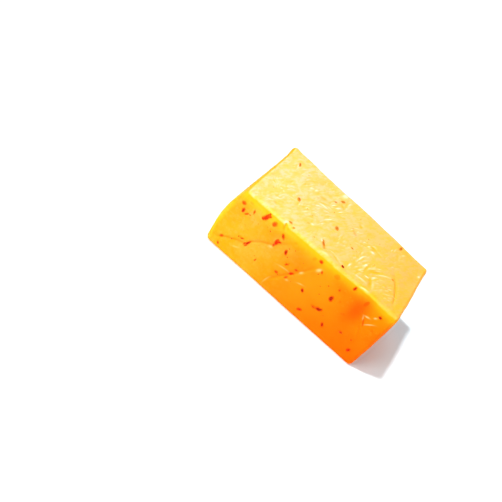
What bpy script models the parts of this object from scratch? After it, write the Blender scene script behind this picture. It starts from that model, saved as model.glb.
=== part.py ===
"""A block of cheddar with chilli flakes, wire-cut on every side and lying on a flat face.

Metres. +X runs along the block, +Z is up, and the cut face with the most flakes looks along -Y.
The origin is the centre of the underside. The block and its flakes are one solid.
"""

import math

import bmesh
import bpy
import numpy as np
from mathutils import Matrix, Vector
from mathutils.bvhtree import BVHTree

# Driving sizes of the block
LENGTH = 0.0687
WIDTH = 0.0418
HEIGHT = 0.0280

# The cuts ran slightly askew: towards +X the block narrows and gets taller
NARROWING = 0.073
RISE = 0.044
END_LEAN = 0.0004

# Rounding of the edges by handling, and the crisper edge round the underside
EDGE_RADIUS = 0.0026
EDGE_SEGMENTS = 5
FOOT_RADIUS = 0.0011
FOOT_SEGMENTS = 3

# The share of that rounding which is left across the back and along both ends
BACK_ROUNDNESS = 0.45
END_ROUNDNESS = 0.60

# The belly of the left end: its centre and radii across and up, how far it stands out, how far in it starts
BELLY_CENTRE = (-0.0160, 0.0145)
BELLY_RADII = (0.0220, 0.0125)
BELLY_RISE = 0.0020
BELLY_REACH = 0.0040

# Mesh: a fine grid carries the relief, then it is thinned to this many triangles
CELL = 0.00055
BLOCK_TRIANGLES = 8200

# Broad unevenness of a soft block: wavelength and height
SWELL_PITCH = 0.026
SWELL_HEIGHT = 0.00022
DIMPLE_PITCH = 0.0085
DIMPLE_HEIGHT = 0.00007
WAVE_COUNT = 7
WAVE_PITCH_SPREAD = (0.7, 1.4)

# Curd seams: paths across a face, as (along, up) or, on top, (along, across)
FRONT_SEAMS = (
    ((-0.0340, 0.0028), (-0.0300, 0.0060), (-0.0265, 0.0083), (-0.0225, 0.0100), (-0.0213, 0.0125),
     (-0.0192, 0.0148), (-0.0165, 0.0165), (-0.0135, 0.0198), (-0.0100, 0.0232)),
    ((-0.0093, 0.0015), (-0.0088, 0.0045), (-0.0062, 0.0092), (-0.0037, 0.0132), (-0.0015, 0.0172),
     (0.0008, 0.0218), (0.0020, 0.0236)),
    ((0.0232, 0.0215), (0.0256, 0.0176), (0.0286, 0.0132), (0.0300, 0.0105)),
)
BACK_SEAMS = (
    ((0.0230, 0.0025), (0.0175, 0.0080), (0.0120, 0.0125), (0.0085, 0.0190), (0.0020, 0.0235)),
    ((-0.0270, 0.0060), (-0.0215, 0.0105), (-0.0175, 0.0170), (-0.0120, 0.0195)),
)
END_SEAMS = (
    ((-0.0120, 0.0040), (-0.0060, 0.0095), (-0.0010, 0.0120), (0.0060, 0.0190)),
    ((0.0050, 0.0035), (0.0090, 0.0085), (0.0115, 0.0140)),
)
SEAM_DEPTH = 0.00028
SEAM_HALF_WIDTH = 0.00075
SEAM_LIP = 0.00018
SEAM_FADE = 0.0030

# Creases that the wrapping pressed into the top
TOP_CREASES = (
    ((0.0240, -0.0005), (0.0256, -0.0033), (0.0274, -0.0075), (0.0285, -0.0120), (0.0292, -0.0165)),
    ((0.0155, -0.0105), (0.0175, -0.0075), (0.0197, -0.0043)),
    ((0.0165, -0.0110), (0.0182, -0.0145), (0.0190, -0.0180)),
    ((0.0105, 0.0050), (0.0125, 0.0040), (0.0160, 0.0050)),
    ((-0.0215, 0.0110), (-0.0225, 0.0070)),
    ((-0.0095, 0.0090), (-0.0110, 0.0055)),
    ((-0.0085, -0.0040), (-0.0070, -0.0010)),
)
CREASE_DEPTH = 0.00024
CREASE_HALF_WIDTH = 0.00075
CREASE_LIP = 0.00012
LIP_SLOPE = 0.0022

# A hollow at the right of the front, where a curd was pressed in
HOLLOW_CENTRE = (0.0216, 0.0195)
HOLLOW_RADII = (0.0030, 0.0064)
HOLLOW_DEPTH = 0.00080

# A short crack over the front top edge
CRACK = (Vector((-0.0170, -0.0206, 0.0272)), Vector((-0.0157, -0.0226, 0.0245)))
CRACK_DEPTH = 0.00060
CRACK_HALF_WIDTH = 0.00045

# The back left top corner stands out a little
CRISP_CORNER = Vector((-0.0338, 0.0216, 0.0262))
CRISP_CORNER_RISE = 0.00040
CRISP_CORNER_RADIUS = 0.0022

# Small openings between the curds of the back and the ends
OPENING_COUNT = 8
OPENING_RADIUS = (0.0007, 0.0012)
OPENING_DEPTH = 0.00065
OPENING_STRETCH = 1.9

# Chilli flakes of the front and top: face, along, up or across, length, width, turn in degrees
SEEN_FLAKES = (
    ("front", -0.0325, 0.0223, 0.0016, 0.0014, 0),
    ("front", -0.0310, 0.0199, 0.0019, 0.0010, 100),
    ("front", -0.0235, 0.0240, 0.0036, 0.0019, 76),
    ("front", -0.0198, 0.0242, 0.0022, 0.0017, 85),
    ("front", -0.0148, 0.0229, 0.0023, 0.0010, -52),
    ("front", -0.0151, 0.0193, 0.0032, 0.0016, 92),
    ("front", -0.0104, 0.0188, 0.0023, 0.0010, -66),
    ("front", -0.0223, 0.0108, 0.0035, 0.0011, 78),
    ("front", -0.0309, 0.0058, 0.0017, 0.0011, 80),
    ("front", -0.0080, 0.0097, 0.0013, 0.0010, 0),
    ("front", -0.0037, 0.0133, 0.0019, 0.0015, 30),
    ("front", 0.0006, 0.0256, 0.0015, 0.0013, 0),
    ("front", 0.0031, 0.0113, 0.0017, 0.0010, -50),
    ("front", 0.0121, 0.0169, 0.0024, 0.0015, 96),
    ("front", 0.0118, 0.0099, 0.0023, 0.0015, 10),
    ("front", 0.0153, 0.0266, 0.0018, 0.0010, 85),
    ("front", 0.0287, 0.0247, 0.0014, 0.0011, 0),
    ("front", 0.0072, 0.0042, 0.0019, 0.0012, 35),
    ("front", 0.0168, 0.0058, 0.0022, 0.0011, -60),
    ("front", 0.0232, 0.0088, 0.0016, 0.0012, 10),
    ("front", 0.0297, 0.0052, 0.0021, 0.0013, 75),
    ("top", -0.0280, 0.0140, 0.0022, 0.0009, -72),
    ("top", -0.0070, 0.0146, 0.0023, 0.0013, 58),
    ("top", 0.0204, 0.0170, 0.0029, 0.0012, 84),
    ("top", -0.0196, -0.0043, 0.0020, 0.0013, -75),
    ("top", -0.0028, -0.0020, 0.0026, 0.0016, -80),
    ("top", -0.0163, -0.0186, 0.0015, 0.0010, 20),
    ("top", 0.0071, -0.0175, 0.0014, 0.0012, 0),
    ("top", -0.0030, -0.0152, 0.0034, 0.0011, -62),
)

# Flakes spread over the other sides: how many on each, their sizes and their spacing
SPREAD_FLAKES = {"back": 12, "left": 6, "right": 6}
FLAKE_LENGTH = (0.0012, 0.0026)
FLAKE_SLENDERNESS = (0.45, 0.85)
FLAKE_SPACING = 0.0042
FLAKE_THICKNESS = 0.0007
FLAKE_PROUD = 0.00018
FLAKE_SIDES = 7
FLAKE_TOP_SHARE = 0.72
FLAKE_UNEVENNESS = (0.8, 1.15)
FACE_MARGIN = 0.0040
SEED = 7

# A point belongs to a face fully where its normal's share along the face's is the sum of these two
FACING_START = 0.55
FACING_SPAN = 0.35
SHARP_ANGLE = math.radians(40)

CHEDDAR_COLOUR = (0.95, 0.36, 0.03, 1.0)
CHEDDAR_ROUGHNESS = 0.42

FACE_NORMALS = {
    "front": (0, -1, 0),
    "back": (0, 1, 0),
    "left": (-1, 0, 0),
    "right": (1, 0, 0),
    "top": (0, 0, 1),
}


def clear_scene():
    for obj in list(bpy.data.objects):
        bpy.data.objects.remove(obj)


def cheddar_material():
    material = bpy.data.materials.new("cheddar")
    material.use_nodes = True
    shader = material.node_tree.nodes["Principled BSDF"]
    shader.inputs["Base Color"].default_value = CHEDDAR_COLOUR
    shader.inputs["Roughness"].default_value = CHEDDAR_ROUGHNESS
    shader.inputs["Metallic"].default_value = 0.0
    return material


def lies_on_floor(edge):
    return all(abs(vertex.co.z) < CELL / 10 for vertex in edge.verts)


def rounded_block():
    """A straight box with rounded edges, its flat faces and long edges cut into a fine grid."""
    bm = bmesh.new()
    bmesh.ops.create_cube(bm, size=1.0)
    bmesh.ops.translate(bm, vec=(0, 0, 0.5), verts=bm.verts)
    bmesh.ops.scale(bm, vec=(LENGTH, WIDTH, HEIGHT), verts=bm.verts)

    upper_edges = [edge for edge in bm.edges if not lies_on_floor(edge)]
    bmesh.ops.bevel(bm, geom=upper_edges, offset=EDGE_RADIUS, segments=EDGE_SEGMENTS,
                    profile=0.5, affect="EDGES", material=-1)
    foot_edges = [edge for edge in bm.edges if lies_on_floor(edge)]
    bmesh.ops.bevel(bm, geom=foot_edges, offset=FOOT_RADIUS, segments=FOOT_SEGMENTS,
                    profile=0.5, affect="EDGES", material=-1)

    for axis in range(3):
        long_edges = []
        for edge in bm.edges:
            run = edge.verts[1].co - edge.verts[0].co
            if abs(run[axis]) > 4 * CELL and abs(run[axis]) > 0.99 * run.length:
                long_edges.append(edge)
        cuts = round(long_edges[0].calc_length() / CELL) - 1
        bmesh.ops.subdivide_edges(bm, edges=long_edges, cuts=cuts, use_grid_fill=True)

    mesh = bpy.data.meshes.new("cheddar_block")
    bm.to_mesh(mesh)
    bm.free()
    return mesh


def read_points(mesh):
    points = np.empty(len(mesh.vertices) * 3)
    mesh.vertices.foreach_get("co", points)
    return points.reshape(-1, 3)


def read_normals(mesh):
    normals = np.empty(len(mesh.vertices) * 3)
    mesh.vertex_normals.foreach_get("vector", normals)
    return normals.reshape(-1, 3)


def write_points(mesh, points):
    mesh.vertices.foreach_set("co", points.ravel())
    mesh.update()


def crisper(span, half, roundness):
    """A coordinate from -half to half, the rounding at each limit narrowed to a share of its width."""
    inner = half - EDGE_RADIUS
    kept = half - roundness * EDGE_RADIUS
    reach = np.abs(span)
    moved = np.where(reach < inner, reach * kept / inner, kept + (reach - inner) * roundness)
    return np.sign(span) * moved


def bellied(points):
    """How far the left end bulges past its flat cut."""
    off_across = (points[:, 1] - BELLY_CENTRE[0]) / BELLY_RADII[0]
    off_up = (points[:, 2] - BELLY_CENTRE[1]) / BELLY_RADII[1]
    share = np.clip((BELLY_REACH - LENGTH / 2 - points[:, 0]) / BELLY_REACH, 0, 1)
    return BELLY_RISE * share * bump(np.hypot(off_across, off_up), 1.0)


def skewed(points):
    """The straight box as the wires cut it: narrower and taller at +X, its left end bulging."""
    cut = points.copy()
    cut[:, 0] = crisper(points[:, 0], LENGTH / 2, END_ROUNDNESS)
    back = points[:, 1] > 0
    cut[back, 1] = crisper(points[back, 1], WIDTH / 2, BACK_ROUNDNESS)
    end = cut[:, 0] / (LENGTH / 2)
    height = points[:, 2] / HEIGHT
    cut[:, 0] -= END_LEAN * np.clip(end, 0, 1) * (2 * height - 1)
    cut[:, 0] -= bellied(cut)
    cut[:, 1] *= 1 - NARROWING * end
    cut[:, 2] *= 1 + RISE * end
    return cut


def waves(points, pitch, seed):
    """Smooth unevenness of about -1 to 1: plane waves in drawn directions, added up."""
    draw = np.random.default_rng(seed)
    total = np.zeros(len(points))
    for _ in range(WAVE_COUNT):
        direction = draw.normal(size=3)
        direction /= np.linalg.norm(direction)
        wave_pitch = pitch * draw.uniform(*WAVE_PITCH_SPREAD)
        phase = draw.uniform(0, 2 * math.pi)
        total += np.sin(points @ direction * 2 * math.pi / wave_pitch + phase)
    return total / math.sqrt(2 * WAVE_COUNT)


def bump(distance, radius):
    return np.exp(-(distance / radius) ** 2)


def distance_to(points, place):
    return np.linalg.norm(points - np.array(place), axis=1)


def groove(along, up, path, depth, half_width, lip):
    """A shallow groove along a path, where the curd on its right-hand side stands a little higher."""
    nearest = np.full(len(along), np.inf)
    side = np.zeros(len(along))
    for (start_u, start_v), (end_u, end_v) in zip(path, path[1:]):
        run_u = end_u - start_u
        run_v = end_v - start_v
        run = math.hypot(run_u, run_v)
        share = ((along - start_u) * run_u + (up - start_v) * run_v) / run ** 2
        share = np.clip(share, 0, 1)
        off_u = along - start_u - share * run_u
        off_v = up - start_v - share * run_v
        distance = np.hypot(off_u, off_v)
        closer = distance < nearest
        nearest = np.where(closer, distance, nearest)
        side = np.where(closer, np.sign(off_u * run_v - off_v * run_u), side)
    rise = 1 - bump(nearest, half_width)
    raised = np.where(side > 0, lip * rise * np.exp(-nearest / LIP_SLOPE), 0)
    fade = np.ones(len(along))
    for end_u, end_v in (path[0], path[-1]):
        fade *= 1 - bump(np.hypot(along - end_u, up - end_v), SEAM_FADE)
    return fade * (raised - depth * bump(nearest, half_width))


def facing(normals, face):
    """How far each point belongs to a face: 1 on the flat, 0 past the middle of its edges."""
    share = normals @ np.array(FACE_NORMALS[face], dtype=float)
    return np.clip((share - FACING_START) / FACING_SPAN, 0, 1)


def openings(points, normals):
    """Small pits between curds, drawn over the back and both ends."""
    draw = np.random.default_rng(SEED)
    depth = np.zeros(len(points))
    for number in range(OPENING_COUNT):
        face = ("back", "left", "right", "back")[number % 4]
        centre = place_on_face(face, draw)
        radius = draw.uniform(*OPENING_RADIUS)
        offset = points - np.array(centre)
        lean = draw.normal(size=3)
        lean /= np.linalg.norm(lean)
        lengthwise = offset @ lean
        distance = np.linalg.norm(offset - np.outer(lengthwise, lean), axis=1)
        distance = np.hypot(distance, lengthwise / OPENING_STRETCH)
        depth += OPENING_DEPTH * bump(distance, radius) * facing(normals, face)
    return depth


def relief(points, normals):
    """How far the real surface stands out from, or dips below, the smooth block."""
    along, across, up = points.T
    height = SWELL_HEIGHT * waves(points, SWELL_PITCH, SEED)
    height += DIMPLE_HEIGHT * waves(points, DIMPLE_PITCH, SEED + 1)

    front = facing(normals, "front")
    for path in FRONT_SEAMS:
        height += front * groove(along, up, path, SEAM_DEPTH, SEAM_HALF_WIDTH, SEAM_LIP)
    hollow = np.hypot((along - HOLLOW_CENTRE[0]) / HOLLOW_RADII[0],
                      (up - HOLLOW_CENTRE[1]) / HOLLOW_RADII[1])
    height -= front * HOLLOW_DEPTH * bump(hollow, 1.0)

    back = facing(normals, "back")
    for path in BACK_SEAMS:
        height += back * groove(along, up, path, SEAM_DEPTH, SEAM_HALF_WIDTH, SEAM_LIP)
    for path, face in zip(END_SEAMS, ("left", "right")):
        lines = groove(across, up, path, SEAM_DEPTH, SEAM_HALF_WIDTH, SEAM_LIP)
        height += facing(normals, face) * lines

    top = facing(normals, "top")
    for path in TOP_CREASES:
        height += top * groove(along, across, path, CREASE_DEPTH, CREASE_HALF_WIDTH, CREASE_LIP)

    run = np.array(CRACK[1] - CRACK[0])
    share = np.clip((points - np.array(CRACK[0])) @ run / (run @ run), 0, 1)
    distance = np.linalg.norm(points - np.array(CRACK[0]) - share[:, None] * run, axis=1)
    height -= CRACK_DEPTH * bump(distance, CRACK_HALF_WIDTH)

    height += CRISP_CORNER_RISE * bump(distance_to(points, CRISP_CORNER), CRISP_CORNER_RADIUS)
    return height - openings(points, normals)


def place_on_face(face, draw):
    """A drawn point of a face, clear of its edges. The surface lies within a millimetre of it."""
    half_length = LENGTH / 2
    half_width = WIDTH / 2
    along = draw.uniform(FACE_MARGIN - half_length, half_length - FACE_MARGIN)
    across = draw.uniform(FACE_MARGIN - half_width, half_width - FACE_MARGIN)
    up = draw.uniform(FACE_MARGIN, HEIGHT - FACE_MARGIN)
    taper = NARROWING * along / half_length
    belly = bellied(np.array([(-half_length, across, up)]))[0]
    places = {
        "front": (along, -half_width * (1 - taper), up),
        "back": (along, half_width * (1 - taper), up),
        "left": (-half_length - belly, across, up),
        "right": (half_length, across, up),
        "top": (along, across, HEIGHT * (1 + RISE * along / half_length)),
    }
    return Vector(places[face])


def seen_place(face, along, other):
    if face == "front":
        return Vector((along, -WIDTH / 2, other))
    return Vector((along, other, HEIGHT))


def thinned(mesh, triangles):
    """The same surface with fewer triangles, kept where the relief needs them."""
    obj = bpy.data.objects.new("thinning", mesh)
    bpy.context.collection.objects.link(obj)
    modifier = obj.modifiers.new("thin", "DECIMATE")
    modifier.ratio = triangles / sum(len(face.vertices) - 2 for face in mesh.polygons)
    result = evaluated_mesh(obj)
    bpy.data.objects.remove(obj)
    return result


def evaluated_mesh(obj):
    bpy.context.view_layer.update()
    depsgraph = bpy.context.evaluated_depsgraph_get()
    return bpy.data.meshes.new_from_object(obj.evaluated_get(depsgraph))


def flattened_foot(mesh):
    """The underside set back exactly on the plane that the block rests on."""
    points = read_points(mesh)
    near_floor = points[:, 2] < FOOT_RADIUS / 20
    points[near_floor, 2] = 0.0
    write_points(mesh, points)


def centred(mesh):
    """The origin at the centre of the box's underside."""
    points = read_points(mesh)
    middle = (points.min(axis=0) + points.max(axis=0)) / 2
    points[:, :2] -= middle[:2]
    write_points(mesh, points)


def flake_mesh(place, normal, length, width, turn, draw):
    """A thin uneven chip lying in the surface, its top just proud of it."""
    bm = bmesh.new()
    bmesh.ops.create_cone(bm, cap_ends=True, segments=FLAKE_SIDES, radius1=0.5,
                          radius2=0.5 * FLAKE_TOP_SHARE, depth=1.0)
    for vertex in bm.verts:
        vertex.co.xy *= draw.uniform(*FLAKE_UNEVENNESS)
    bmesh.ops.scale(bm, vec=(length, width, FLAKE_THICKNESS), verts=bm.verts)
    bmesh.ops.rotate(bm, matrix=Matrix.Rotation(turn, 3, "Z"), verts=bm.verts)

    upright = Vector((0, 1, 0)) if abs(normal.z) > 0.7 else Vector((0, 0, 1))
    right = upright.cross(normal).normalized()
    frame = Matrix((right, normal.cross(right), normal)).transposed()
    sunk = place - normal * (FLAKE_THICKNESS / 2 - FLAKE_PROUD)
    bmesh.ops.transform(bm, matrix=Matrix.Translation(sunk) @ frame.to_4x4(), verts=bm.verts)

    mesh = bpy.data.meshes.new("flake")
    bm.to_mesh(mesh)
    bm.free()
    return mesh


def flake_plan(draw):
    """Every flake as (place, length, width, turn): those that show first, then a spread."""
    plan = []
    for face, along, other, length, width, degrees in SEEN_FLAKES:
        plan.append((seen_place(face, along, other), length, width, math.radians(degrees)))
    for face, count in SPREAD_FLAKES.items():
        placed = 0
        while placed < count:
            place = place_on_face(face, draw)
            if min((place - other[0]).length for other in plan) < FLAKE_SPACING:
                continue
            length = draw.uniform(*FLAKE_LENGTH)
            width = length * draw.uniform(*FLAKE_SLENDERNESS)
            plan.append((place, length, width, draw.uniform(0, math.pi)))
            placed += 1
    return plan


def fuse_flakes(block):
    """All flakes joined to the block by one Boolean union, so that it stays one solid."""
    draw = np.random.default_rng(SEED)
    surface = bmesh.new()
    surface.from_mesh(block.data)
    tree = BVHTree.FromBMesh(surface)
    surface.free()

    flakes = bpy.data.collections.new("flakes")
    bpy.context.scene.collection.children.link(flakes)
    for place, length, width, turn in flake_plan(draw):
        on_surface, normal, _, _ = tree.find_nearest(place)
        mesh = flake_mesh(on_surface, normal, length, width, turn, draw)
        flakes.objects.link(bpy.data.objects.new("flake", mesh))

    union = block.modifiers.new("flakes", "BOOLEAN")
    union.operation = "UNION"
    union.operand_type = "COLLECTION"
    union.collection = flakes
    union.solver = "EXACT"
    fused = evaluated_mesh(block)
    block.modifiers.clear()
    block.data = fused
    for flake in list(flakes.objects):
        bpy.data.objects.remove(flake)
    bpy.data.collections.remove(flakes)


def build():
    clear_scene()
    mesh = rounded_block()
    write_points(mesh, skewed(read_points(mesh)))

    points = read_points(mesh)
    normals = read_normals(mesh)
    foot = np.clip(points[:, 2] / FOOT_RADIUS, 0, 1)
    height = relief(points, normals) * foot
    write_points(mesh, points + normals * height[:, None])

    mesh = thinned(mesh, BLOCK_TRIANGLES)
    flattened_foot(mesh)
    mesh.materials.append(cheddar_material())

    block = bpy.data.objects.new("cheddar_block", mesh)
    bpy.context.scene.collection.objects.link(block)
    fuse_flakes(block)
    centred(block.data)
    block.data.name = "cheddar_block"
    block.data.shade_smooth()
    block.data.set_sharp_from_angle(angle=SHARP_ANGLE)


build()
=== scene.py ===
# %% [markdown]
# # A block of chilli cheddar
#
# This lesson dresses one block of cheddar. The solid block is already there: it comes in as a fixed
# frame, in metres, and everything made here has to sit in the same place. The block gets a finer skin
# with the marks of the cutting wire and of its wrapping, chilli flakes with their stains, and the soft
# look of cheese, into which light passes a little way before it comes back out.

import math

import bmesh
import bpy
import numpy as np
from mathutils import Matrix, Vector
from mathutils.bvhtree import BVHTree


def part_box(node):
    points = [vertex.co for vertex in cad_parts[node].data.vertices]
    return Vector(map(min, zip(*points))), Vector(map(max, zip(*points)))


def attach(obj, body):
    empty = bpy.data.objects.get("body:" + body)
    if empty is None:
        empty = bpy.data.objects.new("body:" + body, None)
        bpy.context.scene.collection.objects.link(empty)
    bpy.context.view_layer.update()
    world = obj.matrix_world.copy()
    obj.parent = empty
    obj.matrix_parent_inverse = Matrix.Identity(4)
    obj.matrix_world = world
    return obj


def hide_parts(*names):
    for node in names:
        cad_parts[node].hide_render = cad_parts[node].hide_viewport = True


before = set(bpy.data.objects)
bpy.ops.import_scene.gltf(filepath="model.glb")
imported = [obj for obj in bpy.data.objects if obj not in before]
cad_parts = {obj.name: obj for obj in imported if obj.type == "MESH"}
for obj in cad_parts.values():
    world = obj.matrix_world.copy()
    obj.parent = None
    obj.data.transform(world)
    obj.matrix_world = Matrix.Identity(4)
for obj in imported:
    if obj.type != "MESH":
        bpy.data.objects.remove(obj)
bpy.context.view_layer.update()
block_low, block_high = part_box("cheddar_block")
print("frame nodes:", sorted(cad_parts))
print("block in mm:", [round(1000 * side, 1) for side in block_high - block_low])

# %% [markdown]
# ## The camera
#
# The block was photographed from above with a longish lens, and the picture shows it turned about the
# view axis. A camera is placed by where it stands, the point that it looks at, its roll and its lens.
# A track quaternion could do the same as a constraint, but a fixed rotation is simpler to read back.

# %% Camera
CAMERA_PLACE = Vector((-0.0191, -0.3035, 0.2172))
CAMERA_TARGET = Vector((-0.0186, -0.0283, 0.0140))
CAMERA_ROLL = math.radians(43.5)
FRAME_PIXELS = 502
FOCAL_PIXELS = 1000
SENSOR_WIDTH = 36.0
CLIP_START = 0.01


def add_object(name, data):
    obj = bpy.data.objects.new(name, data)
    bpy.context.scene.collection.objects.link(obj)
    return obj


def add_camera():
    data = bpy.data.cameras.new("camera")
    data.sensor_width = SENSOR_WIDTH
    data.lens = SENSOR_WIDTH * FOCAL_PIXELS / FRAME_PIXELS
    data.clip_start = CLIP_START
    camera = add_object("camera", data)
    level = (CAMERA_TARGET - CAMERA_PLACE).to_track_quat("-Z", "Y").to_matrix()
    turned = level @ Matrix.Rotation(CAMERA_ROLL, 3, "Z")
    camera.matrix_world = Matrix.Translation(CAMERA_PLACE) @ turned.to_4x4()
    bpy.context.scene.camera = camera
    return camera


camera = add_camera()
print("lens in mm:", round(camera.data.lens, 2))

# %% [markdown]
# ## The block's cut shape
#
# A wire cut the block out of a larger one, and hands rounded its edges. The shape could be sculpted,
# but a cube, two bevels and a grid say the same with a few sizes: the upper edges get a wide bevel,
# the edge it rests on a narrow one, and the long edges are subdivided so that all faces become a
# fine, even grid. The wires ran a little askew, so the grid is then narrowed and raised towards +X.
# The back and end edges stayed crisper, and the left end bulges, because soft cheese gives under a wire.

# %% Cut sizes
# All lengths are in metres
LENGTH = 0.0687
WIDTH = 0.0418
HEIGHT = 0.0280
NARROWING = 0.073
RISE = 0.044
END_LEAN = 0.0004
EDGE_RADIUS = 0.0026
EDGE_SEGMENTS = 12
FOOT_RADIUS = 0.0011
FOOT_SEGMENTS = 5
BACK_ROUNDNESS = 0.45
END_ROUNDNESS = 0.60
BELLY_CENTRE = (-0.0160, 0.0145)
BELLY_RADII = (0.0220, 0.0125)
BELLY_RISE = 0.0020
BELLY_REACH = 0.0040
CELL = 0.00025
LONG_EDGE = 8 * CELL
STRAIGHTNESS = 0.99
FLOOR_SLACK = CELL / 10


# %% Rounded grid
def lies_on_floor(edge):
    return all(abs(vertex.co.z) < FLOOR_SLACK for vertex in edge.verts)


def long_edges(bm, axis):
    """The edges that run along one axis and were not made by a bevel."""
    found = []
    for edge in bm.edges:
        run = edge.verts[1].co - edge.verts[0].co
        if abs(run[axis]) > LONG_EDGE and abs(run[axis]) > STRAIGHTNESS * run.length:
            found.append(edge)
    return found


def bevelled(bm, edges, radius, segments):
    bmesh.ops.bevel(bm, geom=edges, offset=radius, segments=segments,
                    profile=0.5, affect="EDGES", material=-1)


def mesh_from(bm, name):
    """A mesh with a bmesh's shape, after which the bmesh is let go."""
    mesh = bpy.data.meshes.new(name)
    bm.to_mesh(mesh)
    bm.free()
    return mesh


def rounded_block():
    bm = bmesh.new()
    bmesh.ops.create_cube(bm, size=1.0)
    bmesh.ops.translate(bm, vec=(0, 0, 0.5), verts=bm.verts)
    bmesh.ops.scale(bm, vec=(LENGTH, WIDTH, HEIGHT), verts=bm.verts)
    upper = [edge for edge in bm.edges if not lies_on_floor(edge)]
    bevelled(bm, upper, EDGE_RADIUS, EDGE_SEGMENTS)
    foot = [edge for edge in bm.edges if lies_on_floor(edge)]
    bevelled(bm, foot, FOOT_RADIUS, FOOT_SEGMENTS)
    for axis in range(3):
        edges = long_edges(bm, axis)
        cuts = round(edges[0].calc_length() / CELL) - 1
        bmesh.ops.subdivide_edges(bm, edges=edges, cuts=cuts, use_grid_fill=True)
    return mesh_from(bm, "cheddar_body")


# %% Reading and moving points
def read_points(mesh):
    points = np.empty(len(mesh.vertices) * 3)
    mesh.vertices.foreach_get("co", points)
    return points.reshape(-1, 3)


def read_normals(mesh):
    normals = np.empty(len(mesh.vertices) * 3)
    mesh.vertex_normals.foreach_get("vector", normals)
    return normals.reshape(-1, 3)


def write_points(mesh, points):
    mesh.vertices.foreach_set("co", points.ravel())
    mesh.update()


def bump(distance, radius):
    return np.exp(-(distance / radius) ** 2)


def crisper(span, half, roundness):
    """A coordinate from -half to half, the rounding at each limit narrowed to a share of its width."""
    inner = half - EDGE_RADIUS
    kept = half - roundness * EDGE_RADIUS
    reach = np.abs(span)
    moved = np.where(reach < inner, reach * kept / inner, kept + (reach - inner) * roundness)
    return np.sign(span) * moved


def bellied(points):
    """How far the left end bulges past its flat cut."""
    off_across = (points[:, 1] - BELLY_CENTRE[0]) / BELLY_RADII[0]
    off_up = (points[:, 2] - BELLY_CENTRE[1]) / BELLY_RADII[1]
    share = np.clip((BELLY_REACH - LENGTH / 2 - points[:, 0]) / BELLY_REACH, 0, 1)
    return BELLY_RISE * share * bump(np.hypot(off_across, off_up), 1.0)


def skewed(points):
    """The straight box as the wires cut it: narrower and taller at +X, its left end bulging."""
    cut = points.copy()
    cut[:, 0] = crisper(points[:, 0], LENGTH / 2, END_ROUNDNESS)
    back = points[:, 1] > 0
    cut[back, 1] = crisper(points[back, 1], WIDTH / 2, BACK_ROUNDNESS)
    end = cut[:, 0] / (LENGTH / 2)
    height = points[:, 2] / HEIGHT
    cut[:, 0] -= END_LEAN * np.clip(end, 0, 1) * (2 * height - 1)
    cut[:, 0] -= bellied(cut)
    cut[:, 1] *= 1 - NARROWING * end
    cut[:, 2] *= 1 + RISE * end
    return cut


body_mesh = rounded_block()
write_points(body_mesh, skewed(read_points(body_mesh)))
print("fine grid:", len(body_mesh.vertices), "points")

# %% [markdown]
# ## Broad relief
#
# Soft cheese is never quite flat. The broad unevenness is a few plane waves added up, and on top of it
# come the marks that the solid block has too: seams where curds knitted together, a hollow, a crack and
# a few creases from the wrapping. Each mark is a formula of how far a point lies from a path or a
# middle. The paths and depths are the solid's, and the grooves are a little narrower, as a finer skin
# can show them.

# %% Broad relief: sizes
SEED = 7
SWELL_PITCH = 0.026
SWELL_HEIGHT = 0.00022
DIMPLE_PITCH = 0.0085
DIMPLE_HEIGHT = 0.00007
WAVE_COUNT = 7
WAVE_PITCH_SPREAD = (0.7, 1.4)

FRONT_SEAMS = (
    ((-0.0340, 0.0028), (-0.0300, 0.0060), (-0.0265, 0.0083), (-0.0225, 0.0100), (-0.0213, 0.0125),
     (-0.0192, 0.0148), (-0.0165, 0.0165), (-0.0135, 0.0198), (-0.0100, 0.0232)),
    ((-0.0093, 0.0015), (-0.0088, 0.0045), (-0.0062, 0.0092), (-0.0037, 0.0132), (-0.0015, 0.0172),
     (0.0008, 0.0218), (0.0020, 0.0236)),
    ((0.0232, 0.0215), (0.0256, 0.0176), (0.0286, 0.0132), (0.0300, 0.0105)),
)
BACK_SEAMS = (
    ((0.0230, 0.0025), (0.0175, 0.0080), (0.0120, 0.0125), (0.0085, 0.0190), (0.0020, 0.0235)),
    ((-0.0270, 0.0060), (-0.0215, 0.0105), (-0.0175, 0.0170), (-0.0120, 0.0195)),
)
END_SEAMS = (
    ((-0.0120, 0.0040), (-0.0060, 0.0095), (-0.0010, 0.0120), (0.0060, 0.0190)),
    ((0.0050, 0.0035), (0.0090, 0.0085), (0.0115, 0.0140)),
)
SEAM_DEPTH = 0.00028
SEAM_HALF_WIDTH = 0.00060
SEAM_LIP = 0.00018
SEAM_FADE = 0.0030

TOP_CREASES = (
    ((0.0240, -0.0005), (0.0256, -0.0033), (0.0274, -0.0075), (0.0285, -0.0120), (0.0292, -0.0165)),
    ((0.0155, -0.0105), (0.0175, -0.0075), (0.0197, -0.0043)),
    ((0.0165, -0.0110), (0.0182, -0.0145), (0.0190, -0.0180)),
    ((0.0105, 0.0050), (0.0125, 0.0040), (0.0160, 0.0050)),
    ((-0.0215, 0.0110), (-0.0225, 0.0070)),
    ((-0.0095, 0.0090), (-0.0110, 0.0055)),
    ((-0.0085, -0.0040), (-0.0070, -0.0010)),
)
CREASE_DEPTH = 0.00024
CREASE_HALF_WIDTH = 0.00060
CREASE_LIP = 0.00012
LIP_SLOPE = 0.0022

HOLLOW_CENTRE = (0.0216, 0.0195)
HOLLOW_RADII = (0.0030, 0.0064)
HOLLOW_DEPTH = 0.00080

CRACK = (Vector((-0.0170, -0.0206, 0.0272)), Vector((-0.0157, -0.0226, 0.0245)))
CRACK_DEPTH = 0.00060
CRACK_HALF_WIDTH = 0.00040

CRISP_CORNER = Vector((-0.0338, 0.0216, 0.0262))
CRISP_CORNER_RISE = 0.00040
CRISP_CORNER_RADIUS = 0.0022

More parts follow.
